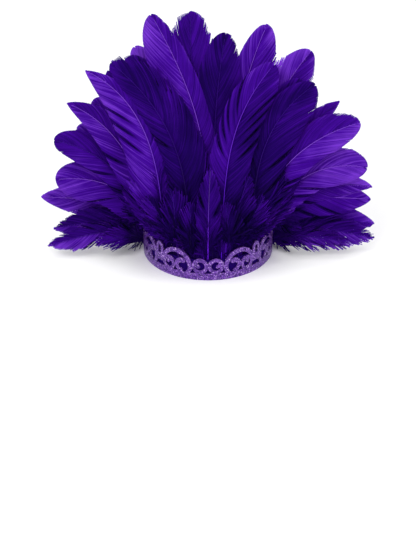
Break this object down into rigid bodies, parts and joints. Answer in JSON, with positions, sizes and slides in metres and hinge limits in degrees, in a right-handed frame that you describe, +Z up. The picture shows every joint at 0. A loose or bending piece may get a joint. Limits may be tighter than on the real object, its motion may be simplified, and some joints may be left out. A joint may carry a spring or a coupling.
{
  "type": "feathered headdress",
  "caption": "Headdress with a fan of dyed feathers standing on a pierced glitter band that closes round the head.",
  "frame": {"origin": "centre of the band's lower rim, in the plane of the rim, on which the headdress rests", "axes": "+X across the face of the fan to the viewer's right, +Y through the ring away from the viewer, +Z up out of the ring"},
  "size_m": [0.4387, 0.2, 0.3051],
  "materials": {
    "glitter_sheet": "glitter",
    "felt": "matte",
    "feather": "satin"
  },
  "bodies": {
    "root": {"scroll_band": "glitter_sheet", "felt_strip": "felt", "feather_left_side_2": "feather", "feather_left_side_1": "feather", "feather_left_hem_2": "feather", "feather_left_hem_1": "feather", "feather_left_short_1": "feather", "feather_left_back_1": "feather", "feather_left_side_3": "feather", "feather_left_short_2": "feather", "feather_left_side_4": "feather", "feather_left_back_2": "feather", "feather_left_back_3": "feather", "feather_left_side_5": "feather", "feather_left_tall_1": "feather", "feather_left_broad": "feather", "feather_left_dark_1": "feather", "feather_left_short_3": "feather", "feather_left_down_1": "feather", "feather_left_back_4": "feather", "feather_left_tall_2": "feather", "feather_left_dark_2": "feather", "feather_left_down_2": "feather", "feather_middle_back_1": "feather", "feather_top_1": "feather", "feather_left_tall_3": "feather", "feather_middle_short": "feather", "feather_top_2": "feather", "feather_middle_back_2": "feather", "feather_right_rachis": "feather", "feather_right_tall_1": "feather", "feather_right_down_1": "feather", "feather_right_down_2": "feather", "feather_right_tall_2": "feather", "feather_right_back_1": "feather", "feather_right_short_1": "feather", "feather_right_dark_1": "feather", "feather_right_dark_2": "feather", "feather_right_side_1": "feather", "feather_right_narrow": "feather", "feather_right_back_2": "feather", "feather_right_side_2": "feather", "feather_right_short_2": "feather", "feather_right_side_3": "feather", "feather_right_side_4": "feather", "feather_right_short_3": "feather", "feather_right_short_4": "feather", "feather_right_hem_2": "feather", "feather_right_hem_1": "feather", "feather_right_side_5": "feather"}
  },
  "joints": []
}
